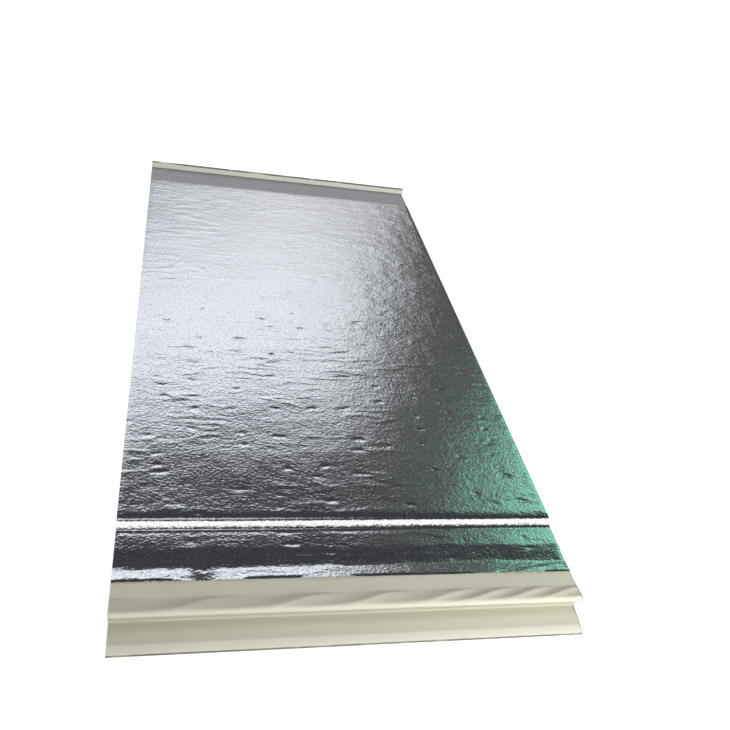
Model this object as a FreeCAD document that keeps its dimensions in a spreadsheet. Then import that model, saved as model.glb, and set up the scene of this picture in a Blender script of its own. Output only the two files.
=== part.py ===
"""Insulated wall panel, 16 mm deep, cut to a 200 mm length, lying with its foil back up.

One roll-formed steel sheet makes the face, both joint edges, the fixing lip and the covering
flange. Foam fills it, and an aluminium foil closes the back. X runs along the joints, Y from
the lip edge to the flange edge, Z up from the decorative face to the back.
"""
import FreeCAD, Part
import math
import os

import Sketcher

# name, millimetres, what it sets
SIZES = (
    ("panel_length", 200.0, "cut length along the joints"),
    ("overall_width", 400.0, "lip tip to outside of the flange lip"),
    ("joint_overlap", 17.0, "overall width less cover width"),
    ("panel_depth", 16.0, "decorative face to foil"),
    ("sheet_gauge", 0.4, "steel sheet"),
    ("foil_gauge", 0.1, "foil and its kraft backing"),
    ("bend_radius", 0.6, "inside radius of an open bend"),
    ("hem_gap", 0.3, "space left inside a folded hem"),
    ("lip_reach", 13.4, "lip tip to notch, across the panel"),
    ("lip_height", 3.4, "top of the lip at its tip, above the face"),
    ("lip_rise", 1.7, "how much higher the lip is at the notch"),
    ("face_bevel", 3.0, "width of the slope from the lip to the face"),
    ("nose_overhang", 4.7, "how far the nose leans out over the notch"),
    ("nose_drop", 1.3, "nose below the back"),
    ("valley_inset", 9.0, "nose to the shallow valley rolled behind it"),
    ("valley_drop", 1.2, "valley below the nose"),
    ("foil_setback", 16.2, "nose to the free edge of the foil"),
    ("sheet_tuck", 8.0, "steel that runs on under the foil"),
    ("sheet_fall", 1.95, "cut end of the steel under the foil, below the nose"),
    ("rebate_width", 42.0, "nose to the foot of the step in the back"),
    ("rebate_depth", 3.7, "foot of the step below the back"),
    ("step_run", 3.8, "width of the sloping step"),
    ("step_radius", 3.0, "rounding of the foil at the top and the foot of the step"),
    ("flange_width", 21.4, "grey flange, fold to outside of its lip"),
    ("flange_lip", 5.0, "lip above the back"),
    ("lip_end_gap", 0.3, "cut end of the hemmed flange lip above the flange"),
    ("face_setback", 3.0, "edge of the face inside the flange lip"),
    ("face_hem", 1.5, "thickness of the folded edge of the face"),
    ("joint_clearance", 0.3, "space round the neighbour's lip and nose"),
)


class Length:
    """A number of millimetres that carries the spreadsheet expression it is worked out from."""

    def __init__(self, value, text):
        self.value = value
        self.text = text

    def _with(self, sign, other, result):
        other_text = other.text if isinstance(other, Length) else repr(other)
        return Length(result, "(%s %s %s)" % (self.text, sign, other_text))

    def __add__(self, other):
        return self._with("+", other, self.value + number(other))

    def __sub__(self, other):
        return self._with("-", other, self.value - number(other))

    def __mul__(self, other):
        return self._with("*", other, self.value * number(other))

    def __truediv__(self, other):
        return self._with("/", other, self.value / number(other))


def number(length):
    return length.value if isinstance(length, Length) else length


doc = FreeCAD.newDocument("insulated_panel")
sheet = doc.addObject("Spreadsheet::Sheet", "Sizes")
size = {}
for row, (name, value, meaning) in enumerate(SIZES, start=1):
    sheet.set("A%d" % row, meaning)
    sheet.set("B%d" % row, str(value))
    sheet.setAlias("B%d" % row, name)
    size[name] = Length(value, "Sizes." + name)
doc.recompute()

# Reference places across the panel and up it, shared by every piece.
half_width = size["overall_width"] / 2
near = half_width * -1
far = half_width
back = size["panel_depth"]
foam_back = back - size["foil_gauge"]
face_z = Length(0.0, "0")
no_depth = Length(0.0, "0")
gauge = size["sheet_gauge"]
hem = gauge * 2 + size["hem_gap"]
clear = size["joint_clearance"]

notch_y = near + size["lip_reach"]
notch_z = size["lip_height"] + size["lip_rise"]
nose_y = notch_y - size["nose_overhang"]
nose_z = back - size["nose_drop"]
step_foot_y = nose_y + size["rebate_width"]
step_foot_z = back - size["rebate_depth"]
step_top_y = step_foot_y + size["step_run"]
foil_edge_y = nose_y + size["foil_setback"]
tuck_y = foil_edge_y + size["sheet_tuck"]
tuck_z = nose_z - size["sheet_fall"]
valley_y = nose_y + size["valley_inset"]
valley_z = nose_z - size["valley_drop"]
fold_y = far - size["flange_width"]
fold_inside_y = fold_y + gauge

# The neighbour's lip edge is this panel's own, moved on by the cover width.
pitch = size["overall_width"] - size["joint_overlap"]
next_tip_y = near + pitch
next_notch_y = notch_y + pitch
next_nose_y = nose_y + pitch


foil_edge_z = valley_z - (foil_edge_y - valley_y) * (valley_z - tuck_z) / (tuck_y - valley_y)

# The stretches of the painted side, in order across the panel: each corner is its place across,
# its height and its inside bend radius.
bend = size["bend_radius"]
tight = size["hem_gap"] / 3


def tongue():
    """From the cut end under the foil, over the valley and round the nose to the notch."""
    return (
        (tuck_y, tuck_z, None),
        (valley_y, valley_z, bend),
        (nose_y, nose_z, bend),
        (notch_y, notch_z, bend),
    )


def fixing_lip():
    """The hemmed tip of the lip that the screws go through."""
    return (
        (near, size["lip_height"], tight),
        (near, size["lip_height"] - hem, tight),
    )


def face_and_groove():
    """From the root of the lip, across the face and up round the groove for the next panel."""
    return (
        (notch_y, notch_z - hem, bend),
        (notch_y + size["face_bevel"], face_z, bend),
        (far - size["face_setback"], face_z, tight),
        (far - size["face_setback"], size["face_hem"], tight),
        (next_tip_y - clear, size["face_hem"], bend),
        (next_tip_y - clear, size["lip_height"] + clear, bend),
        (next_notch_y - clear, notch_z + clear, bend),
        (next_nose_y - clear, back - hem + gauge, bend),
        (fold_inside_y, back - hem + gauge, tight),
    )


def flange():
    """Back over itself at the fold, out to the edge and up into the hemmed flange lip."""
    lip_top = back + size["flange_lip"]
    return (
        (fold_inside_y, back - gauge, tight),
        (far, back - gauge, bend),
        (far, lip_top, tight),
        (far - hem, lip_top, tight),
        (far - hem, back + size["lip_end_gap"], None),
    )


def back_path(end_y):
    """The back of the foam, from the cut end of the steel over the step to a place beyond it."""
    return (
        (tuck_y, tuck_z, None),
        (step_foot_y, step_foot_z, size["step_radius"]),
        (step_top_y, foam_back, size["step_radius"]),
        (end_y, foam_back, None),
    )


class Outline:
    """A sketch across the panel whose corners are tied to the sizes."""

    def __init__(self, name):
        self.body = doc.addObject("PartDesign::Body", name)
        self.sketch = self.body.newObject("Sketcher::SketchObject", name + "_section")
        plane = [item for item in self.body.Origin.OriginFeatures if item.Role == "YZ_Plane"][0]
        self.sketch.AttachmentSupport = (plane, "")
        self.sketch.MapMode = "FlatFace"
        self.geometry = []
        self.construction = []
        self.rules = []
        self.bound = []

    def add(self, shape, construction=False):
        self.geometry.append(shape)
        self.construction.append(construction)
        return len(self.geometry) - 1

    def rule(self, *words):
        self.rules.append(Sketcher.Constraint(*words))

    def bind(self, length, *words):
        """Add a dimension and remember the expression that drives it."""
        self.bound.append((len(self.rules), length.text))
        self.rule(*words, length.value)

    def pin(self, index, end, y, z):
        """Hold one end of a line, or a point, at a place worked out from the sizes."""
        self.bind(y, "DistanceX", -1, 1, index, end)
        self.bind(z, "DistanceY", -1, 1, index, end)

    def line(self, start, end, construction=False):
        return self.add(Part.LineSegment(vector(start), vector(end)), construction)

    def finish(self, label):
        self.sketch.addGeometry(self.geometry, False)
        for index, construction in enumerate(self.construction):
            if construction:
                self.sketch.toggleConstruction(index)
        self.sketch.addConstraint(self.rules)
        for index, text in self.bound:
            self.sketch.setExpression("Constraints[%d]" % index, text)
        pad = self.body.newObject("PartDesign::Pad", label + "_length")
        pad.Profile = self.sketch
        pad.SideType = "Symmetric"
        pad.setExpression("Length", size["panel_length"].text)
        self.body.Label = label
        return self.body


def vector(point):
    return FreeCAD.Vector(point[0], point[1], 0)


def unit(start, end):
    run = (end[0] - start[0], end[1] - start[1])
    length = math.hypot(*run)
    return (run[0] / length, run[1] / length)


def move(point, direction, distance):
    return (point[0] + direction[0] * distance, point[1] + direction[1] * distance)


def turn_angle(before, after):
    """Angle turned from one direction to the next, positive to the left."""
    cross = before[0] * after[1] - before[1] * after[0]
    dot = before[0] * after[0] + before[1] * after[1]
    return math.atan2(cross, dot)


def offset_corners(corners, distance):
    """Corners of the line that runs a distance to the left of a bent line."""
    runs = [unit(a, b) for a, b in zip(corners, corners[1:])]
    moved = []
    for index, corner in enumerate(corners):
        before = runs[max(index - 1, 0)]
        after = runs[min(index, len(runs) - 1)]
        half_turn = turn_angle(before, after) / 2
        left = (-before[1] - after[1], before[0] + after[0])
        moved.append(move(corner, unit((0, 0), left), distance / math.cos(half_turn)))
    return moved


def draw_bent_line(outline, corners, radii, construction=False):
    """Lines through the corners, with a tangent arc at each corner that has a radius."""
    runs = [unit(a, b) for a, b in zip(corners, corners[1:])]
    turns = [turn_angle(a, b) for a, b in zip(runs, runs[1:])]
    cut = [0] + [
        number(radius) * math.tan(abs(turn) / 2) if radius else 0
        for radius, turn in zip(radii[1:-1], turns)
    ] + [0]
    lines = []
    for index, run in enumerate(runs):
        start = move(corners[index], run, cut[index])
        end = move(corners[index + 1], run, -cut[index + 1])
        lines.append(outline.line(start, end, construction))
    for index, turn in enumerate(turns, start=1):
        before, after = lines[index - 1], lines[index]
        radius = radii[index]
        if not radius:
            outline.rule("Coincident", before, 2, after, 1)
            continue
        leftwards = turn > 0
        side = 1 if leftwards else -1
        before_run = runs[index - 1]
        left = (-before_run[1], before_run[0])
        touch = move(corners[index], before_run, -cut[index])
        centre = move(touch, left, side * radius.value)
        start_angle = math.atan2(touch[1] - centre[1], touch[0] - centre[0])
        angles = (start_angle, start_angle + turn) if leftwards else (start_angle + turn, start_angle)
        circle = Part.Circle(vector(centre), FreeCAD.Vector(0, 0, 1), radius.value)
        arc = outline.add(Part.ArcOfCircle(circle, *angles), construction)
        first_end, last_end = (1, 2) if leftwards else (2, 1)
        outline.rule("Tangent", before, 2, arc, first_end)
        outline.rule("Tangent", arc, last_end, after, 1)
        outline.bind(radius, "Radius", arc)
    return lines


def values(points):
    return [(point[0].value, point[1].value) for point in points]


def bend_radii(path, depth):
    """Radii at a depth into the steel from its painted side, which is outside the left bends."""
    corners = values(path)
    runs = [unit(a, b) for a, b in zip(corners, corners[1:])]
    radii = [None]
    for index, (_, _, bend) in enumerate(path[1:-1], start=1):
        outside = turn_angle(runs[index - 1], runs[index]) > 0
        if bend is None:
            radii.append(None)
        elif outside:
            radii.append(bend + gauge - depth)
        else:
            radii.append(bend + depth)
    return radii + [None]


def tie_bends(outline, path, lines, radii):
    """Pin the corners between the ends of a bent line, where they are rounded too."""
    for index, (y, z, _) in enumerate(path[1:-1], start=1):
        if not radii[index]:
            outline.pin(lines[index], 1, y, z)
            continue
        corner = outline.add(Part.Point(vector((y.value, z.value))), True)
        outline.rule("PointOnObject", corner, 1, lines[index - 1])
        outline.rule("PointOnObject", corner, 1, lines[index])
        outline.pin(corner, 1, y, z)


def tie_corners(outline, path, lines, radii):
    """Pin a bent line at every corner and at both ends."""
    outline.pin(lines[0], 1, path[0][0], path[0][1])
    outline.pin(lines[-1], 2, path[-1][0], path[-1][1])
    tie_bends(outline, path, lines, radii)


def draw_inner_side(outline, path, lines, depth):
    """The line at a depth into the sheet, parallel to its first side all along."""
    corners = offset_corners(values(path), depth.value)
    side = draw_bent_line(outline, corners, bend_radii(path, depth))
    for first, inner in zip(lines, side):
        outline.rule("Parallel", first, inner)
        outline.bind(depth, "Distance", inner, 1, first)
    return side


def square_end(outline, lines, side, end):
    """Close a sheet with a square cut between its two sides."""
    index = 0 if end == 1 else -1
    corners = [outline.geometry[line[index]] for line in (lines, side)]
    points = [item.StartPoint if end == 1 else item.EndPoint for item in corners]
    cut = outline.line(points[0], points[1])
    outline.rule("Coincident", cut, 1, lines[index], end)
    outline.rule("Coincident", cut, 2, side[index], end)
    outline.rule("Perpendicular", cut, lines[index])


def make_bent_sheet(label, path, thickness):
    """A sheet of even thickness that follows a path across the panel."""
    outline = Outline(label)
    radii = bend_radii(path, no_depth)
    lines = draw_bent_line(outline, values(path), radii)
    tie_corners(outline, path, lines, radii)
    side = draw_inner_side(outline, path, lines, thickness)
    square_end(outline, lines, side, 1)
    square_end(outline, lines, side, 2)
    return outline.finish(label)


def make_core_block():
    """Foam out to the middle of the steel, so that the sheet can be cut from it all round."""
    outline = Outline("core_block")
    path = tongue() + face_and_groove() + ((fold_inside_y, foam_back, None),)
    radii = bend_radii(path, no_depth)
    lines = draw_bent_line(outline, values(path), radii, construction=True)
    tie_corners(outline, path, lines, radii)
    side = draw_inner_side(outline, path, lines, gauge / 2)
    square_end(outline, lines, side, 1)
    top = back_path(fold_inside_y - gauge / 2)
    top_radii = bend_radii(top, no_depth)
    top_lines = draw_bent_line(outline, values(top), top_radii)
    tie_bends(outline, top, top_lines, top_radii)
    outline.rule("Coincident", top_lines[0], 1, lines[0], 1)
    outline.rule("Coincident", top_lines[-1], 2, side[-1], 2)
    outline.rule("Horizontal", top_lines[-1])
    return outline.finish("core_block")


def make_foil():
    """Foil from its free edge, over the end of the steel and the step, to the fold."""
    edge = ((foil_edge_y, foil_edge_z, None),)
    return make_bent_sheet("backing_foil", edge + back_path(fold_y), size["foil_gauge"])


steel_path = tongue() + fixing_lip() + face_and_groove() + flange()
face_sheet = make_bent_sheet("face_sheet", steel_path, gauge)
backing_foil = make_foil()
foam_core = doc.addObject("Part::Cut", "foam_core")
foam_core.Base = make_core_block()
foam_core.Tool = face_sheet
foam_core.Label = "foam_core"
doc.recompute()

for item in doc.Objects:
    if "Invalid" in item.State or "Error" in item.State:
        raise RuntimeError("%s did not build: %s" % (item.Label, item.State))

os.makedirs("parts", exist_ok=True)
for piece in (face_sheet, foam_core, backing_foil):
    solids = [round(solid.Volume) for solid in piece.Shape.Solids]
    print(piece.Label, solids, piece.Shape.BoundBox)
    if piece.Shape.isNull() or not piece.Shape.isValid() or len(solids) != 1:
        raise RuntimeError("%s is not one valid solid" % piece.Label)
for piece in (face_sheet, foam_core, backing_foil):
    piece.Shape.exportStep("parts/%s.step" % piece.Label)
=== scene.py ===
"""Looks of the foil-backed wall panel: crinkled foil, cream coil-painted steel and sawn foam."""
import math

import bpy
import numpy as np
from mathutils import Matrix, Vector


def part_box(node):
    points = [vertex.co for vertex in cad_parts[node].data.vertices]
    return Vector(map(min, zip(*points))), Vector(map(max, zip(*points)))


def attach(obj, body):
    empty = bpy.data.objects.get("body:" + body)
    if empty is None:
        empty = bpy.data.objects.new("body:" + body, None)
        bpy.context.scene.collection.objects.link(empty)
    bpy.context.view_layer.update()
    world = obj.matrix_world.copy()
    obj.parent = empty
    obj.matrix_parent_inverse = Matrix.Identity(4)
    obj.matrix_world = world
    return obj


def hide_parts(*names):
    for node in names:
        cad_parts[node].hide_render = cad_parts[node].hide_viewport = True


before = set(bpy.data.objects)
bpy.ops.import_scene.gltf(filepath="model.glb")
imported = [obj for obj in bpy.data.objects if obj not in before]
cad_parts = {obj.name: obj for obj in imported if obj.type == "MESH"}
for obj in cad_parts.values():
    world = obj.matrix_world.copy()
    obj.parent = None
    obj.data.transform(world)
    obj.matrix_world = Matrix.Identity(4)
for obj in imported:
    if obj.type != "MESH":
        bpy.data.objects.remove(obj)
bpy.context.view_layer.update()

MM = 0.001

# ---------------------------------------------------------------- places, from the frame
steel_low, steel_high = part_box("face_sheet")
foil_low, foil_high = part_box("backing_foil")
left_end, right_end = steel_low.x, steel_high.x
near, far = steel_low.y, steel_high.y
back = foil_high.z
foam_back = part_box("foam_core")[1].z
foil_edge, fold = foil_low.y, foil_high.y

# Section sizes of the rolled steel and of the back, the same as the construction's,
# but for the nose, which is rounded a little more.
GAUGE = 0.4 * MM
HEM_GAP = 0.3 * MM
HEM = 2 * GAUGE + HEM_GAP
BEND = 0.6 * MM
NOSE_BEND = 1.1 * MM
TIGHT = HEM_GAP / 3
CLEAR = 0.3 * MM
FOIL_GAUGE = 0.1 * MM
LIP_REACH = 13.4 * MM
LIP_HEIGHT = 3.4 * MM
LIP_RISE = 1.7 * MM
FACE_BEVEL = 3.0 * MM
NOSE_OVERHANG = 4.7 * MM
NOSE_DROP = 1.3 * MM
VALLEY_INSET = 9.0 * MM
VALLEY_DROP = 1.2 * MM
SHEET_TUCK = 8.0 * MM
SHEET_FALL = 1.95 * MM
REBATE_WIDTH = 42.0 * MM
REBATE_DEPTH = 3.7 * MM
STEP_RUN = 3.8 * MM
STEP_RADIUS = 3.0 * MM
JOINT_OVERLAP = 17.0 * MM
FACE_SETBACK = 3.0 * MM
FACE_HEM = 1.5 * MM
LIP_END_GAP = 0.3 * MM
SAW_INSET = 0.15 * MM
FLOOR_Z = -0.2 * MM

# How finely the meshes are divided: stations along X, and spans across the panel.
STEEL_STATIONS = 161
FOIL_STATIONS = 221
ARC_STEPS = 6
STEEL_FINE, STEEL_COARSE = 0.6 * MM, 8 * MM
FOIL_SPAN = 0.84 * MM
FOAM_SPAN = 3 * MM
# Below this height the near part of the sheet is hidden.
SEEN_ABOVE = 2 * MM

notch_y = near + LIP_REACH
notch_z = LIP_HEIGHT + LIP_RISE
nose_y = notch_y - NOSE_OVERHANG
nose_z = back - NOSE_DROP
valley_y = nose_y + VALLEY_INSET
valley_z = nose_z - VALLEY_DROP
tuck_y = foil_edge + SHEET_TUCK
tuck_z = nose_z - SHEET_FALL
foil_edge_z = valley_z - (foil_edge - valley_y) * (valley_z - tuck_z) / (tuck_y - valley_y)
step_foot_y = nose_y + REBATE_WIDTH
step_foot_z = back - REBATE_DEPTH
step_top_y = step_foot_y + STEP_RUN
pitch = (far - near) - JOINT_OVERLAP


# ---------------------------------------------------------------- node helpers
def empty_tree(owner):
    """The node tree of a material or a world, emptied."""
    owner.use_nodes = True
    owner.node_tree.nodes.clear()
    return owner.node_tree


def set_inputs(tree, node, inputs):
    """Set or link a node's inputs, each by its name or number."""
    for key, value in inputs.items():
        if isinstance(value, bpy.types.NodeSocket):
            tree.links.new(value, node.inputs[key])
        else:
            node.inputs[key].default_value = value


def add_node(tree, kind, inputs=None, **settings):
    """Add a node, set its properties, and set or link its inputs."""
    node = tree.nodes.new(kind)
    for key, value in settings.items():
        setattr(node, key, value)
    set_inputs(tree, node, inputs or {})
    return node


def math_node(tree, operation, *values):
    return add_node(tree, "ShaderNodeMath", dict(enumerate(values)), operation=operation).outputs[0]


def multiply(tree, *values):
    total = values[0]
    for value in values[1:]:
        total = math_node(tree, "MULTIPLY", total, value)
    return total


def add_up(tree, *values):
    total = values[0]
    for value in values[1:]:
        total = math_node(tree, "ADD", total, value)
    return total


def split(tree, vector):
    """The three numbers of a vector."""
    return add_node(tree, "ShaderNodeSeparateXYZ", {0: vector}).outputs


def combine(tree, x=0.0, y=0.0, z=0.0):
    return add_node(tree, "ShaderNodeCombineXYZ", {0: x, 1: y, 2: z}).outputs[0]


def vector_node(tree, operation, first, second=None, third=None):
    """A vector math node's result; SCALE takes its factor at its own socket, and LENGTH gives a number."""
    inputs = {0: first}
    if second is not None:
        inputs["Scale" if operation == "SCALE" else 1] = second
    if third is not None:
        inputs[2] = third
    node = add_node(tree, "ShaderNodeVectorMath", inputs, operation=operation)
    return node.outputs["Value" if operation == "LENGTH" else "Vector"]


def smooth_step(tree, value, start, end):
    """0 at the start and 1 at the end, level beyond them, with a soft ramp between."""
    inputs = {"Value": value, "From Min": start, "From Max": end}
    node = add_node(tree, "ShaderNodeMapRange", inputs, interpolation_type="SMOOTHSTEP")
    return node.outputs["Result"]


def band(tree, value, low, high, soft_low, soft_high):
    """1 between low and high, fading to 0 across each of them by a soft width to either side."""
    rise = smooth_step(tree, value, low - soft_low, low + soft_low)
    fall = smooth_step(tree, value, high - soft_high, high + soft_high)
    return multiply(tree, rise, math_node(tree, "SUBTRACT", 1.0, fall))


def linear_curve(tree, value, stops):
    """A line through (value, result) stops, held level beyond its ends."""
    total = stops[0][1]
    for (start, low), (end, high) in zip(stops, stops[1:]):
        inputs = {"Value": value, "From Min": start, "From Max": end}
        part = add_node(tree, "ShaderNodeMapRange", inputs).outputs["Result"]
        total = math_node(tree, "MULTIPLY_ADD", part, high - low, total)
    return total


def mix_colour(tree, factor, first, second):
    """Mix two colours; the Mix node's inputs 6 and 7 and its output 2 are the colour ones."""
    node = add_node(tree, "ShaderNodeMix", {"Factor": factor, 6: first, 7: second}, data_type="RGBA")
    return node.outputs[2]


def tint(tree, colour, mask, amount, second):
    """Lay an amount of a second colour over the first, where the mask is 1."""
    return mix_colour(tree, multiply(tree, mask, amount), colour, second)


def new_material(name):
    material = bpy.data.materials.new(name)
    tree = empty_tree(material)
    shader = add_node(tree, "ShaderNodeBsdfPrincipled")
    add_node(tree, "ShaderNodeOutputMaterial", {"Surface": shader.outputs[0]})
    return material, tree, shader


def object_point(tree, scale=(1, 1, 1)):
    """Object coordinates in millimetres, stretched by a scale."""
    source = add_node(tree, "ShaderNodeTexCoord").outputs["Object"]
    factors = tuple(value / MM for value in scale)
    mapping = add_node(tree, "ShaderNodeMapping", {"Vector": source, "Scale": factors})
    return mapping.outputs[0]


def noise(tree, point, scale, detail=2.0, roughness=0.5, distortion=0.0):
    inputs = {"Vector": point, "Scale": scale, "Detail": detail, "Roughness": roughness,
              "Distortion": distortion}
    return add_node(tree, "ShaderNodeTexNoise", inputs).outputs["Fac"]


def bump(tree, height, distance, normal=None):
    inputs = {"Height": height, "Distance": distance}
    if normal is not None:
        inputs["Normal"] = normal
    return add_node(tree, "ShaderNodeBump", inputs).outputs[0]


# ---------------------------------------------------------------- materials
FOIL_DULL, FOIL_BRIGHT = (0.76, 0.765, 0.78, 1), (0.95, 0.95, 0.955, 1)
CREAM_DARK, CREAM = (0.545, 0.53, 0.42, 1), (0.64, 0.625, 0.515, 1)
# Colours for light and shade painted into the cream: a paler cream for painted highlights and painted
# light, darker ones for painted shade in the notch and the valley, and a near black for dark edge lines,
# partly a painted shadow.
CREAM_PAINTED_LIGHT = (0.76, 0.745, 0.66, 1)
NOTCH_SHADE = (0.33, 0.31, 0.24, 1)
VALLEY_SHADE = (0.30, 0.27, 0.19, 1)
DARK_EDGE_LINE = (0.085, 0.075, 0.06, 1)
BACK_COAT_DARK, BACK_COAT_LIGHT = (0.33, 0.345, 0.37, 1), (0.41, 0.42, 0.435, 1)
FOAM_PIT = (0.50, 0.39, 0.20, 1)
FOAM_DARK, FOAM_LIGHT = (0.62, 0.50, 0.27, 1), (0.80, 0.69, 0.43, 1)
CUT_DARK, CUT_LIGHT = (0.30, 0.30, 0.31, 1), (0.52, 0.52, 0.53, 1)
# Rolling draws a finish out five times along X.
ROLLED = (0.2, 1, 1)


def make_foil():
    """Bright rolled aluminium with the fine pimpled grain of foil laid on paper."""
    material, tree, shader = new_material("aluminium_foil")
    grain = noise(tree, object_point(tree, (0.7, 1, 1)), 0.9, detail=0.5)
    fine = noise(tree, object_point(tree), 1.7, detail=0.0)
    normal = bump(tree, fine, 0.035 * MM, bump(tree, grain, 0.070 * MM))
    patch = noise(tree, object_point(tree), 0.05, detail=3.0)
    roughness = linear_curve(tree, patch, ((0.0, 0.10), (1.0, 0.16)))
    sparkle = noise(tree, object_point(tree, (0.6, 1, 1)), 1.3, detail=1.0)
    colour = mix_colour(tree, smooth_step(tree, sparkle, 0.32, 0.66), FOIL_DULL, FOIL_BRIGHT)
    set_inputs(tree, shader, {
        "Base Color": colour,
        "Metallic": 1.0,
        "Roughness": roughness,
        "Normal": normal,
    })
    return material


def make_paint():
    """Cream coil paint with a soft gloss, with light and shade painted into its colour: a painted highlight
    on the lip's hem, painted light on the upright lip, painted shade in the notch and the valley, and a
    dark line along the lip's tip, the upright lip's brim and the right end.
    """
    material, tree, shader = new_material("cream_paint")
    x, y, z = split(tree, object_point(tree))
    from_tip = math_node(tree, "SUBTRACT", y, near / MM)
    from_nose = math_node(tree, "SUBTRACT", y, nose_y / MM)
    tone = noise(tree, object_point(tree, ROLLED), 0.09, detail=4.0)
    colour = mix_colour(tree, tone, CREAM_DARK, CREAM)
    # Painted highlight: the outer part of the lip, where it rolls down over its hem, is made paler.
    hem_highlight = band(tree, from_tip, 0.2, 3.7, 0.1, 0.35)
    colour = tint(tree, colour, hem_highlight, 0.5, CREAM_PAINTED_LIGHT)

    # Painted shade: the lip is darkened where it runs in under the nose, and up the undercut wall.
    notch_shade = multiply(tree, band(tree, from_tip, 9.0, 14.5, 2.0, 1.0), smooth_step(tree, z, 13.0, 8.5))
    colour = tint(tree, colour, notch_shade, 0.48, NOTCH_SHADE)
    # Painted shade darkens the valley behind the nose, most at the left end.
    valley_shade = multiply(tree, band(tree, from_nose, 2.4, 8.2, 1.0, 1.4), smooth_step(tree, z, 9.0, 11.0))
    shade_depth = linear_curve(tree, x, ((-90.0, 0.30), (20.0, 0.08)))
    colour = tint(tree, colour, valley_shade, shade_depth, VALLEY_SHADE)
    # Painted light: the upright lip on the far edge is made paler, for the light that falls on its face.
    upright_light = smooth_step(tree, z, back / MM + 0.3, back / MM + 0.6)
    colour = tint(tree, colour, upright_light, 0.8, CREAM_PAINTED_LIGHT)

    # A painted shadow darkens the lip's tip under its rolled hem, and the same dark line is drawn,
    # patchily, at the brim of the upright lip and at the right end.
    tip_shadow = smooth_step(tree, from_tip, 0.50, 0.15)
    brim = smooth_step(tree, z, steel_high.z / MM - 1.25, steel_high.z / MM - 0.85)
    end = smooth_step(tree, x, right_end / MM - 0.50, right_end / MM - 0.20)
    dark_edges = math_node(tree, "MAXIMUM", math_node(tree, "MAXIMUM", tip_shadow, brim), end)
    patchy = smooth_step(tree, noise(tree, object_point(tree, ROLLED), 0.4, detail=3.0), 0.25, 0.5)
    colour = tint(tree, colour, dark_edges, multiply(tree, patchy, 0.9), DARK_EDGE_LINE)
    peel = noise(tree, object_point(tree), 1.1, detail=2.0)
    set_inputs(tree, shader, {
        "Base Color": colour,
        "Normal": bump(tree, peel, 0.01 * MM),
        "Roughness": 0.38,
        "Coat Weight": 0.35,
        "Coat Roughness": 0.22,
    })
    return material


def make_back_coat():
    """Thin grey primer on the unseen side of the steel, which shows on the flange."""
    material, tree, shader = new_material("grey_back_coat")
    tone = noise(tree, object_point(tree, ROLLED), 0.12, detail=5.0, roughness=0.6)
    colour = mix_colour(tree, tone, BACK_COAT_DARK, BACK_COAT_LIGHT)
    grain = noise(tree, object_point(tree, ROLLED), 1.2, detail=3.0)
    normal = bump(tree, grain, 0.01 * MM)
    set_inputs(tree, shader, {"Base Color": colour, "Normal": normal, "Roughness": 0.55, "Metallic": 0.1})
    return material


def make_foam():
    """Sawn polyurethane foam: fine open cells, torn here and there, yellowing cream."""
    material, tree, shader = new_material("sawn_foam")
    point = object_point(tree)
    cells = add_node(tree, "ShaderNodeTexVoronoi", {"Vector": point, "Scale": 2.2}).outputs["Distance"]
    coarse = noise(tree, point, 0.35, detail=4.0)
    tone = mix_colour(tree, coarse, FOAM_DARK, FOAM_LIGHT)
    colour = mix_colour(tree, smooth_step(tree, cells, 0.15, 0.6), FOAM_PIT, tone)
    normal = bump(tree, coarse, 0.4 * MM, bump(tree, cells, 0.25 * MM))
    set_inputs(tree, shader, {"Base Color": colour, "Normal": normal, "Roughness": 0.9})
    return material


def make_cut_steel():
    """The sheared edge of the galvanised sheet: bare grey metal with fine shear marks."""
    material, tree, shader = new_material("cut_steel")
    marks = noise(tree, object_point(tree), 3.0, detail=2.0)
    colour = mix_colour(tree, marks, CUT_DARK, CUT_LIGHT)
    set_inputs(tree, shader, {"Base Color": colour, "Metallic": 0.9, "Roughness": 0.42})
    return material


foil_finish = make_foil()
paint = make_paint()
back_coat = make_back_coat()
cut_steel = make_cut_steel()
foam_finish = make_foam()


# ---------------------------------------------------------------- meshes
def steel_corners():
    """Corners of the painted side across the panel, each with its inside bend radius."""
    tip_y = near + pitch
    tongue = (
        (tuck_y, tuck_z, 0),
        (valley_y, valley_z, BEND),
        (nose_y, nose_z, NOSE_BEND),
        (notch_y, notch_z, BEND),
    )
    fixing_lip = (
        (near, LIP_HEIGHT, TIGHT),
        (near, LIP_HEIGHT - HEM, TIGHT),
    )
    face_and_groove = (
        (notch_y, notch_z - HEM, BEND),
        (notch_y + FACE_BEVEL, 0, BEND),
        (far - FACE_SETBACK, 0, TIGHT),
        (far - FACE_SETBACK, FACE_HEM, TIGHT),
        (tip_y - CLEAR, FACE_HEM, BEND),
        (tip_y - CLEAR, LIP_HEIGHT + CLEAR, BEND),
        (notch_y + pitch - CLEAR, notch_z + CLEAR, BEND),
        (nose_y + pitch - CLEAR, back - HEM + GAUGE, BEND),
        (fold + GAUGE, back - HEM + GAUGE, TIGHT),
    )
    flange = (
        (fold + GAUGE, back - GAUGE, TIGHT),
        (far, back - GAUGE, BEND),
        (far, steel_high.z, TIGHT),
        (far - HEM, steel_high.z, TIGHT),
        (far - HEM, back + LIP_END_GAP, 0),
    )
    return tongue, fixing_lip, face_and_groove, flange


def back_corners():
    """Corners of the foam's back, from the cut end of the steel over the step to the fold."""
    return (
        (tuck_y, tuck_z, 0),
        (step_foot_y, step_foot_z, STEP_RADIUS),
        (step_top_y, foam_back, STEP_RADIUS),
        (fold, foam_back, 0),
    )


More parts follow.
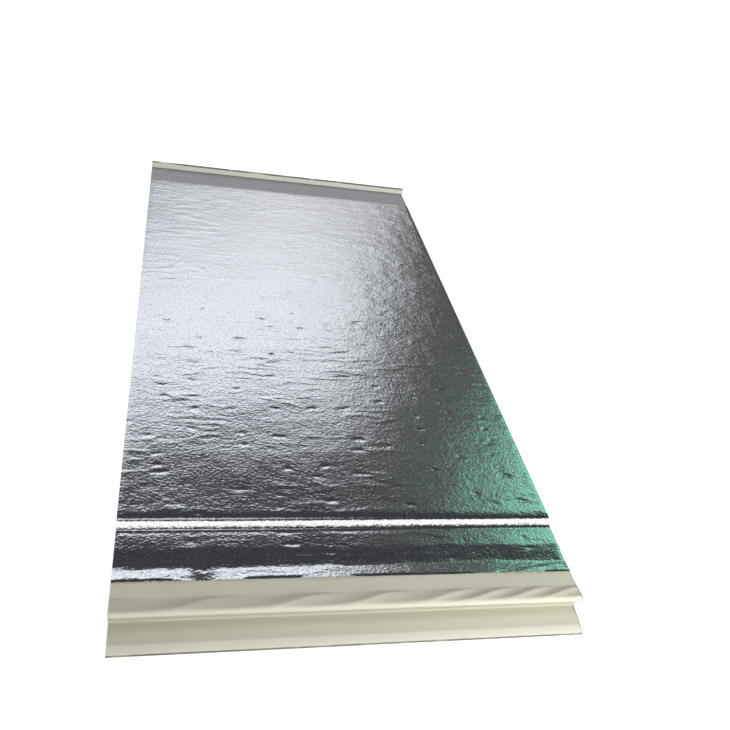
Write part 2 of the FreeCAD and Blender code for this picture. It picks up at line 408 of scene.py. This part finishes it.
def bent_line(corners, spacing):
    """Points along a bent line, each with the direction to its left.

    The radius of a left bend has the sheet's gauge added, because the sheet lies inside it.
    """
    places = [Vector(corner[:2]) for corner in corners]
    runs = [(b - a).normalized() for a, b in zip(places, places[1:])]
    left = [Vector((-run.y, run.x)) for run in runs]
    points = [(places[0], left[0])]
    for index, run in enumerate(runs):
        end = places[index + 1]
        last = index == len(runs) - 1
        turn = 0 if last else math.atan2(run.cross(runs[index + 1]), run.dot(runs[index + 1]))
        radius = corners[index + 1][2] + (GAUGE if turn > 0 else 0)
        touch = end - run * radius * math.tan(abs(turn) / 2)
        start = points[-1][0]
        steps = max(1, math.ceil((touch - start).length / spacing(start, touch)))
        points += [(start.lerp(touch, step / steps), left[index]) for step in range(1, steps + 1)]
        if last:
            break
        centre = touch + left[index] * math.copysign(radius, turn)
        arc_spacing = spacing(touch, end)
        steps = max(ARC_STEPS, math.ceil(radius * abs(turn) / arc_spacing))
        for step in range(1, steps + 1):
            spin = Matrix.Rotation(turn * step / steps, 2)
            points.append((centre + spin @ (touch - centre), spin @ left[index]))
    return points


def steel_spacing(start, end):
    """Short spans where the steel shows and buckles, long ones where it is flat or hidden."""
    low, high = min(start.x, end.x), max(start.y, end.y)
    return STEEL_FINE if low < foil_edge and high > SEEN_ABOVE else STEEL_COARSE


def foil_spacing(start, end):
    return FOIL_SPAN


def foam_spacing(start, end):
    return FOAM_SPAN


def link_mesh(name, verts, faces, materials, slots=None):
    mesh = bpy.data.meshes.new(name)
    mesh.from_pydata(verts, [], faces)
    for material in materials:
        mesh.materials.append(material)
    if slots is not None:
        mesh.polygons.foreach_set("material_index", slots)
    mesh.update()
    obj = bpy.data.objects.new(name, mesh)
    bpy.context.collection.objects.link(obj)
    return obj


def smooth_by_angle(obj, angle):
    bpy.context.view_layer.objects.active = obj
    obj.select_set(True)
    bpy.ops.object.shade_smooth_by_angle(angle=math.radians(angle))
    obj.select_set(False)


def mark_points(obj, name, marks):
    """Store a number at every vertex, for the node trees to read."""
    attribute = obj.data.attributes.new(name, "FLOAT", "POINT")
    attribute.data.foreach_set("value", marks)


def build_steel():
    """The sheet swept along X: its painted and its inner side, closed at both cut edges and both ends."""
    corners = sum(steel_corners(), ())
    points = bent_line(corners, steel_spacing)
    painted = [(p.x, p.y) for p, _ in points]
    inner = [(p.x + n.x * GAUGE, p.y + n.y * GAUGE) for p, n in points]
    count = len(points)
    ring = painted + inner
    stations = np.linspace(left_end, right_end, STEEL_STATIONS)
    verts = [(x, y, z) for x in stations for y, z in ring]
    faces, slots = [], []
    last = len(stations) - 1
    for row in range(last):
        a, b = row * 2 * count, (row + 1) * 2 * count
        for i in range(count - 1):
            faces.append((a + i, a + i + 1, b + i + 1, b + i))
            faces.append((a + count + i, b + count + i, b + count + i + 1, a + count + i + 1))
            slots += [0, 1]
        faces.append((a, b, b + count, a + count))
        faces.append((a + 2 * count - 1, b + 2 * count - 1, b + count - 1, a + count - 1))
        slots += [2, 2]
    end = last * 2 * count
    for i in range(count - 1):
        faces.append((i, count + i, count + i + 1, i + 1))
        faces.append((end + i + 1, end + count + i + 1, end + count + i, end + i))
        slots += [2, 2]
    return link_mesh("rolled_steel_sheet", verts, faces, (paint, back_coat, cut_steel), slots)


def build_foam():
    """The foam's section between the steel's inner side and the foil, swept along the panel."""
    tongue, _, face_and_groove, _ = steel_corners()
    points = bent_line(tongue + face_and_groove + ((fold + GAUGE, foam_back, 0),), foam_spacing)
    under = [(p.x + n.x * GAUGE, p.y + n.y * GAUGE) for p, n in points]
    top = [(p.x, p.y) for p, _ in bent_line(back_corners(), foam_spacing)]
    loop = under + top[::-1]
    count = len(loop)
    stations = (left_end + SAW_INSET, right_end - SAW_INSET)
    verts = [(x, y, z) for x in stations for y, z in loop]
    faces = [(i, (i + 1) % count, count + (i + 1) % count, count + i) for i in range(count)]
    faces += [tuple(range(count))[::-1], tuple(range(count, 2 * count))]
    return link_mesh("sawn_foam_core", verts, faces, (foam_finish,))


def build_foil():
    """The foil as a thin closed plate: a fine outer side, and an under side of long strips."""
    tuck_run = ((foil_edge, foil_edge_z, 0),)
    points = bent_line(tuck_run + back_corners(), foil_spacing)
    low = [(p.x, p.y) for p, _ in points]
    high = [(p.x + n.x * FOIL_GAUGE, p.y + n.y * FOIL_GAUGE) for p, n in points]
    stations = np.linspace(left_end, right_end, FOIL_STATIONS)
    rows, columns = len(points), len(stations)
    verts = [(x, y, z) for y, z in high for x in stations]
    faces = [
        (row * columns + i, row * columns + i + 1, (row + 1) * columns + i + 1, (row + 1) * columns + i)
        for row in range(rows - 1)
        for i in range(columns - 1)
    ]
    # The under side has whole rows of vertices at its two edges, and only the ends between them.
    below = {}
    for row, (y, z) in enumerate(low):
        wanted = range(columns) if row in (0, rows - 1) else (0, columns - 1)
        for i in wanted:
            below[row, i] = len(verts)
            verts.append((stations[i], y, z))
    last = columns - 1
    faces.append([below[0, i] for i in range(columns)][::-1] + [below[1, 0], below[1, last]])
    for row in range(1, rows - 2):
        faces.append((below[row, last], below[row, 0], below[row + 1, 0], below[row + 1, last]))
    faces.append([below[rows - 1, i] for i in range(columns)] + [below[rows - 2, last], below[rows - 2, 0]])
    ends_from = len(faces)
    for row in range(rows - 1):
        a, b = row * columns, (row + 1) * columns
        faces.append((a, b, below[row + 1, 0], below[row, 0]))
        faces.append((b + last, a + last, below[row, last], below[row + 1, last]))
    ends_to = len(faces)
    for i in range(columns - 1):
        faces.append((i + 1, i, below[0, i], below[0, i + 1]))
        a = (rows - 1) * columns + i
        faces.append((a, a + 1, below[rows - 1, i + 1], below[rows - 1, i]))
    # The two sawn ends are covered with the foam's dust.
    slots = np.zeros(len(faces), dtype=int)
    slots[ends_from:ends_to] = 1
    obj = link_mesh("crinkled_foil", verts, faces, (foil_finish, foam_finish), slots)
    outer = np.zeros(len(verts))
    outer[: rows * columns] = 1
    mark_points(obj, "outer", outer)
    return obj


# ---------------------------------------------------------------- relief by geometry nodes
def new_geometry_tree(name, inputs):
    """An empty node tree with geometry in and out and a number input for each size."""
    tree = bpy.data.node_groups.new(name, "GeometryNodeTree")
    tree.interface.new_socket("Geometry", in_out="INPUT", socket_type="NodeSocketGeometry")
    tree.interface.new_socket("Geometry", in_out="OUTPUT", socket_type="NodeSocketGeometry")
    for label in inputs:
        tree.interface.new_socket(label, in_out="INPUT", socket_type="NodeSocketFloat")
    return tree, tree.nodes.new("NodeGroupInput"), tree.nodes.new("NodeGroupOutput")


def raise_points(tree, source, target, height):
    """Finish a tree: move each point up by a height in millimetres."""
    offset = combine(tree, z=multiply(tree, height, MM))
    moved = add_node(tree, "GeometryNodeSetPosition", {"Geometry": source.outputs[0], "Offset": offset})
    tree.links.new(moved.outputs[0], target.inputs[0])


def run_geometry_tree(obj, tree, sizes):
    """Run the tree on the piece with its inputs set, and keep the result as a plain mesh."""
    modifier = obj.modifiers.new(tree.name, "NODES")
    modifier.node_group = tree
    for item in tree.interface.items_tree:
        if item.in_out == "INPUT" and item.name in sizes:
            modifier[item.identifier] = sizes[item.name]
    graph = bpy.context.evaluated_depsgraph_get()
    mesh = bpy.data.meshes.new_from_object(obj.evaluated_get(graph))
    obj.modifiers.remove(modifier)
    obj.data = mesh


def plan_point(tree):
    """Place in plan in millimetres, as a flat vector and as its two numbers."""
    place = add_node(tree, "GeometryNodeInputPosition").outputs[0]
    plan = vector_node(tree, "MULTIPLY", place, (1 / MM, 1 / MM, 0))
    x, y, _ = split(tree, plan)
    return plan, x, y


def plan_noise(tree, plan, size_x, size_y, seed, detail=2.0, roughness=0.5, distortion=0.0):
    """Noise with features of about the given sizes in millimetres along X and Y, from 0 to 1."""
    point = vector_node(tree, "MULTIPLY_ADD", plan, (1 / size_x, 1 / size_y, 0), (seed, -seed, seed))
    return noise(tree, point, 1.0, detail, roughness, distortion)


def centred(tree, value, amount):
    """A noise value moved to swing about zero, times an amount."""
    return multiply(tree, math_node(tree, "SUBTRACT", value, 0.5), amount)


# Heights in millimetres, but for the lap, which is a factor on its own profile.
FOIL_RELIEF = {
    "Swell": 0.36, "Ripple": 0.09, "Streak": 0.062, "Crease": 0.09, "Dent": 0.30, "Lap": 1.0, "Brow": 0.16,
}
# Dents lie in the cells of a loose pattern. Their widths vary, and their reach along Y is the same.
DENT_CELL = (19.0, 8.0)
DENT_SHIFT = (4.3, 2.6, 0)
DENT_REACH = 1.35
DENT_BOW = 0.35


def foil_creases(tree, plan, height):
    """Creases along X: a ridge wherever a stretched noise crosses its middle value."""
    crossing = plan_noise(tree, plan, 34, 6.5, 17.3, detail=1.0, distortion=0.25)
    distance = math_node(tree, "ABSOLUTE", math_node(tree, "SUBTRACT", crossing, 0.5))
    ridge = math_node(tree, "SUBTRACT", 1.0, smooth_step(tree, distance, 0.0, 0.06))
    where = smooth_step(tree, plan_noise(tree, plan, 30, 16, 41.7, detail=1.0), 0.46, 0.62)
    return multiply(tree, ridge, where, height)


def foil_dents(tree, plan, y, depth):
    """Short, wide, ragged dents, in some of the cells of the loose pattern."""
    ragged = centred(tree, plan_noise(tree, plan, 3.4, 3.4, 53.1, detail=3.0), 3.2)
    shaken = vector_node(tree, "ADD", plan, combine(tree, y=ragged))
    scale = (1 / DENT_CELL[0], 1 / DENT_CELL[1], 0)
    cells = vector_node(tree, "MULTIPLY_ADD", shaken, scale, DENT_SHIFT)
    cell = add_node(tree, "ShaderNodeTexVoronoi", {"Vector": cells, "Scale": 1.0}, voronoi_dimensions="2D")
    choice, width_lot, _ = split(tree, cell.outputs["Color"])
    side, ahead, _ = split(tree, vector_node(tree, "SUBTRACT", cells, cell.outputs["Position"]))
    half_width = linear_curve(tree, width_lot, ((0.0, 2.0), (1.0, 7.0)))
    across = math_node(tree, "DIVIDE", multiply(tree, side, DENT_CELL[0]), half_width)
    bow = multiply(tree, across, across, DENT_BOW)
    along = add_up(tree, multiply(tree, ahead, DENT_CELL[1] / DENT_REACH), bow)
    reach = vector_node(tree, "LENGTH", combine(tree, across, along))
    bowl = math_node(tree, "SUBTRACT", 1.0, smooth_step(tree, reach, 0.0, 1.0))
    chosen = smooth_step(tree, choice, 0.38, 1.0)
    fading = linear_curve(tree, y, ((-140.0, 1.0), (-20.0, 0.75), (90.0, 0.25)))
    return multiply(tree, bowl, chosen, depth, fading)


def foil_lap(tree, plan, x, from_foot, factor):
    """Beyond the step the foil laps over the cut end of the steel and lifts towards its free edge."""
    wander = centred(tree, plan_noise(tree, plan, 17, 60, 7.7, detail=4.0, roughness=0.6), 4.5)
    distance = add_up(tree, from_foot, multiply(tree, wander, smooth_step(tree, from_foot, 4, 12)))
    mound = linear_curve(tree, distance, ((-1.8, 0.0), (0.8, 0.52), (10.0, 0.50), (19.2, 0.0)))
    mound = multiply(tree, mound, linear_curve(tree, x, ((-10.0, 1.0), (70.0, 1.6))))
    rise = linear_curve(tree, distance, ((19.5, 0.0), (26.6, 0.58)))
    crushed = band(tree, x, -69.0, -60.0, 2.5, 4.0)
    rise = multiply(tree, rise, math_node(tree, "MULTIPLY_ADD", crushed, -1.2, 1.0))
    curled = smooth_step(tree, plan_noise(tree, plan, 26, 200, 91.3, detail=1.0), 0.51, 0.58)
    curl = multiply(tree, linear_curve(tree, from_foot, ((24.9, 0.0), (25.8, -0.3))), curled)
    return multiply(tree, add_up(tree, mound, rise, curl), factor)


def foil_tree():
    """Raise swells, ripples, creases, dents and the lapped edge on the foil's outer side."""
    tree, source, target = new_geometry_tree("foil_relief", FOIL_RELIEF)
    size = source.outputs
    plan, x, y = plan_point(tree)
    from_foot = math_node(tree, "SUBTRACT", step_foot_y / MM, y)
    from_top = math_node(tree, "SUBTRACT", y, step_top_y / MM)

    swell = centred(tree, plan_noise(tree, plan, 46, 30, 3.1, detail=1.0), size["Swell"])
    ripple = centred(tree, plan_noise(tree, plan, 8.5, 7, 12.4, detail=1.0), size["Ripple"])
    streak = centred(tree, plan_noise(tree, plan, 11, 3.2, 29.9, detail=1.5), size["Streak"])
    # The right side is more rumpled from the middle on, and streaks gather at the step and the far edge.
    rumpled = multiply(tree, smooth_step(tree, x, 0, 70), smooth_step(tree, y, -90, 0))
    ripple = multiply(tree, ripple, math_node(tree, "MULTIPLY_ADD", rumpled, 1.5, 1.0))
    below_step = band(tree, from_foot, 1.5, 9.5, 0.8, 1.5)
    above_step = band(tree, from_top, 3.5, 8.0, 1.5, 3.0)
    far_edge = linear_curve(tree, y, ((40.0, 0.0), (140.0, 2.4)))
    lively = add_up(tree, below_step, above_step, far_edge)
    streak = multiply(tree, streak, math_node(tree, "MULTIPLY_ADD", lively, 0.9, 1.0))
    crease = foil_creases(tree, plan, size["Crease"])
    dent = foil_dents(tree, plan, y, size["Dent"])
    lap = foil_lap(tree, plan, x, from_foot, size["Lap"])
    # The back swells a little before it turns down over the step.
    brow = multiply(tree, band(tree, from_top, 3.2, 4.2, 2.4, 4.0), size["Brow"])

    # The relief is faint on the step, lower at the two cut ends, and dies out at the fold.
    to_left = math_node(tree, "SUBTRACT", x, left_end / MM)
    to_right = math_node(tree, "SUBTRACT", right_end / MM, x)
    to_end = math_node(tree, "MINIMUM", to_left, to_right)
    to_fold = math_node(tree, "SUBTRACT", fold / MM, y)
    ends = linear_curve(tree, to_end, ((0.0, 0.55), (1.8, 1.0)))
    inside = multiply(tree, ends, smooth_step(tree, to_fold, 0.0, 2.5))
    step_zone = band(tree, y, step_foot_y / MM - 1.5, step_top_y / MM + 1.5, 1.5, 1.5)
    calm = math_node(tree, "SUBTRACT", 1.0, multiply(tree, step_zone, 0.7))
    rough = math_node(tree, "SUBTRACT", add_up(tree, swell, ripple, streak, crease, 0.2), dent)
    rough = multiply(tree, rough, calm, inside)
    height = math_node(tree, "MAXIMUM", add_up(tree, rough, lap, brow), 0.0)
    outer = add_node(tree, "GeometryNodeInputNamedAttribute", {"Name": "outer"}, data_type="FLOAT")
    raise_points(tree, source, target, multiply(tree, height, outer.outputs[0]))
    return tree


# Two heights and a width in millimetres.
STEEL_RELIEF = {"Buckle": 0.80, "Lip droop": 0.90, "Lip droop width": 4.4}
# How far a buckle leans along X for each millimetre towards the foil.
BUCKLE_LEAN = 3.0


def steel_tree():
    """Roll the lip's tip down a little and raise the buckles in the valley behind the nose."""
    tree, source, target = new_geometry_tree("steel_relief", STEEL_RELIEF)
    size = source.outputs
    plan, x, y = plan_point(tree)
    _, _, z = split(tree, add_node(tree, "GeometryNodeInputPosition").outputs[0])
    from_nose = math_node(tree, "SUBTRACT", y, nose_y / MM)
    lean = math_node(tree, "MULTIPLY_ADD", from_nose, -BUCKLE_LEAN, x)
    wander = centred(tree, plan_noise(tree, plan, 40, 40, 5.5, detail=1.0), 6.0)
    lean = add_up(tree, lean, wander)
    # The count of buckles rises by one in about 40 mm at the left end and 18 mm at the right.
    count = linear_curve(tree, lean, ((-165.0, 0.0), (-43.0, 3.0), (21.0, 5.0), (113.0, 10.0)))
    middle = math_node(tree, "MULTIPLY_ADD", math_node(tree, "FRACT", count), 2.0, -1.0)
    crest = multiply(tree, middle, middle)
    zone = band(tree, from_nose, 2.6, 8.0, 1.4, 1.2)
    top = smooth_step(tree, z, 9 * MM, 10 * MM)
    strength = linear_curve(tree, x, ((-100.0, 0.8), (-20.0, 1.2), (30.0, 0.9), (100.0, 0.7)))
    buckle = multiply(tree, crest, zone, top, strength, size["Buckle"])
    from_tip = math_node(tree, "SUBTRACT", y, near / MM)
    share = math_node(tree, "DIVIDE", from_tip, size["Lip droop width"])
    share = linear_curve(tree, share, ((0.0, 1.0), (0.25, 0.58), (0.5, 0.30), (0.8, 0.06), (1.0, 0.0)))
    droop = multiply(tree, share, size["Lip droop"])
    raise_points(tree, source, target, math_node(tree, "SUBTRACT", buckle, droop))
    return tree


# ---------------------------------------------------------------- pieces on the frame
steel = build_steel()
run_geometry_tree(steel, steel_tree(), STEEL_RELIEF)
foil = build_foil()
run_geometry_tree(foil, foil_tree(), FOIL_RELIEF)
foam = build_foam()
# Each piece with the node that it replaces, its slot and the widest bend, in degrees, shaded smooth.
for piece, node_name, slot_name, smooth_angle in (
    (steel, "face_sheet", "painted_steel", 40),
    (foam, "foam_core", "foam", 30),
    (foil, "backing_foil", "foil", 60),
):
    smooth_by_angle(piece, smooth_angle)
    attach(piece, "root")
    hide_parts(node_name)


# ---------------------------------------------------------------- floor, light and camera
FLOOR_HALF = 3.0
FLOOR_GREY, FLOOR_FAINT = (0.80, 0.80, 0.80, 1), (0.45, 0.45, 0.45, 1)
FLOOR_GLOW = 0.88
WHITE = (1, 1, 1, 1)
# What the foil mirrors, and the even light that falls on everything else.
CEILING = (0.044, 0.045, 0.053, 1)
SILL_LEFT, SILL_RIGHT = (0.12, 0.15, 0.19, 1), (0.66, 0.66, 0.67, 1)
PANE = (1.04, 1.09, 1.16, 1)
WALL = (0.088, 0.090, 0.087, 1)
HEDGE = (0.35, 0.86, 0.63, 1)
OVERHEAD = (0.62, 0.63, 0.65, 1)
REAR_LOW, REAR_HIGH = (0.42, 0.44, 0.47, 1), (1.15, 1.15, 1.16, 1)
EVEN_LIGHT = (0.29, 0.29, 0.29, 1)
# Name, place, aim, size and power of each lamp.
LAMPS = (
    ("key", (0.40, -0.52, 0.18), (0.02, -0.15, 0.01), 0.15, 3.7),
    ("front", (0.20, -1.18, 0.32), (0.0, 0.0, 0.0), 0.5, 1.9),
    ("fill", (-0.1, 1.0, 1.1), (0.0, 0.0, 0.0), 0.8, 7.6),
)
CAMERA_PLACE = (-83.6 * MM, -363.5 * MM, 275.1 * MM)
CAMERA_AZIMUTH = 18.57
CAMERA_DOWN = 36.61
CAMERA_ROLL = 14.11
CAMERA_LENS = 37.33


def make_floor():
    """A pale floor that the camera sees as white, with the panel's shadow kept faint."""
    corners = [(x * FLOOR_HALF, y * FLOOR_HALF, FLOOR_Z) for x, y in ((-1, -1), (1, -1), (1, 1), (-1, 1))]
    material = bpy.data.materials.new("pale_floor")
    tree = empty_tree(material)
    plain = add_node(tree, "ShaderNodeBsdfDiffuse", {"Color": FLOOR_GREY})
    faint = add_node(tree, "ShaderNodeBsdfDiffuse", {"Color": FLOOR_FAINT})
    glow = add_node(tree, "ShaderNodeEmission", {"Color": WHITE, "Strength": FLOOR_GLOW})
    white = add_node(tree, "ShaderNodeAddShader", {0: faint.outputs[0], 1: glow.outputs[0]})
    seen = add_node(tree, "ShaderNodeLightPath").outputs["Is Camera Ray"]
    pick = add_node(tree, "ShaderNodeMixShader", {0: seen, 1: plain.outputs[0], 2: white.outputs[0]})
    add_node(tree, "ShaderNodeOutputMaterial", {"Surface": pick.outputs[0]})
    floor = link_mesh("floor", corners, [(0, 1, 2, 3)], (material,))


def mirrored_room(tree, way):
    """The room by direction: a bright window wall, a dark ceiling, greenery and a pale rear wall.

    Azimuth runs from +Y towards +X and height is above the level, both in degrees.
    """
    axis = split(tree, way)
    turn = math_node(tree, "ARCTAN2", axis[0], axis[1])
    azimuth = multiply(tree, turn, math.degrees(1))
    height = multiply(tree, math_node(tree, "ARCSINE", axis[2]), math.degrees(1))

    # The window is brightest in its upper half and dims towards the sill, most on the left.
    sill = mix_colour(tree, smooth_step(tree, azimuth, -9, 8), SILL_LEFT, SILL_RIGHT)
    pane = mix_colour(tree, smooth_step(tree, height, 21.5, 34.5), sill, PANE)
    uneven = noise(tree, vector_node(tree, "MULTIPLY", way, (20, 20, 32)), 1.0, detail=3.0)
    uneven = linear_curve(tree, uneven, ((0.3, 0.68), (0.7, 1.12)))
    pane = vector_node(tree, "SCALE", pane, uneven)
    head = math_node(tree, "MULTIPLY_ADD", azimuth, 0.10, height)
    room = mix_colour(tree, band(tree, head, -30, 43.0, 5, 3.2), CEILING, pane)

    # The window's right side slants out below its middle, and greenery shows beyond the wall beside it.
    slant = add_up(tree, azimuth, linear_curve(tree, height, ((20.0, 2.0), (34.0, 0.0))))
    wall = multiply(tree, band(tree, slant, 18.8, 64, 3.6, 6), band(tree, height, -20, 48, 5, 3))
    room = mix_colour(tree, wall, room, WALL)
    beyond, level = band(tree, azimuth, 33.5, 58, 4.8, 6), band(tree, height, 32.0, 44.2, 2.5, 2.2)
    room = mix_colour(tree, multiply(tree, beyond, level, uneven), room, HEDGE)
    room = mix_colour(tree, smooth_step(tree, height, 74, 84), room, OVERHEAD)

    behind = smooth_step(tree, math_node(tree, "ABSOLUTE", azimuth), 95, 125)
    rear = multiply(tree, behind, band(tree, height, -30, 54, 5, 3))
    rear_wall = mix_colour(tree, smooth_step(tree, height, -5, 40), REAR_LOW, REAR_HIGH)
    return mix_colour(tree, rear, room, rear_wall)


def make_world():
    """White to the camera, the room to glossy rays, and even light to all others."""
    world = bpy.data.worlds.new("studio")
    bpy.context.scene.world = world
    tree = empty_tree(world)
    room = mirrored_room(tree, add_node(tree, "ShaderNodeTexCoord").outputs["Generated"])
    path = add_node(tree, "ShaderNodeLightPath").outputs
    colour = mix_colour(tree, path["Is Glossy Ray"], EVEN_LIGHT, room)
    colour = mix_colour(tree, path["Is Camera Ray"], colour, WHITE)
    background = add_node(tree, "ShaderNodeBackground", {"Color": colour, "Strength": 1.0})
    add_node(tree, "ShaderNodeOutputWorld", {"Surface": background.outputs[0]})


def make_lamp(name, place, aim, size, power):
    """A square lamp that the foil doesn't mirror."""
    data = bpy.data.lights.new(name, "AREA")
    data.shape = "SQUARE"
    data.size = size
    data.energy = power
    lamp = bpy.data.objects.new(name, data)
    bpy.context.collection.objects.link(lamp)
    lamp.location = place
    lamp.rotation_euler = (Vector(aim) - Vector(place)).to_track_quat("-Z", "Y").to_euler()
    lamp.visible_glossy = False


def make_camera():
    data = bpy.data.cameras.new("camera")
    data.lens = CAMERA_LENS
    data.clip_start = 0.01
    camera = bpy.data.objects.new("camera", data)
    bpy.context.collection.objects.link(camera)
    turn = Matrix.Rotation(math.radians(-CAMERA_AZIMUTH), 4, "Z")
    tilt = Matrix.Rotation(math.radians(90 - CAMERA_DOWN), 4, "X")
    roll = Matrix.Rotation(math.radians(CAMERA_ROLL), 4, "Z")
    camera.matrix_world = Matrix.Translation(CAMERA_PLACE) @ turn @ tilt @ roll
    bpy.context.scene.camera = camera


make_floor()
make_world()
for lamp in LAMPS:
    make_lamp(*lamp)
make_camera()
bpy.context.scene.view_settings.view_transform = "Standard"

bpy.context.view_layer.update()
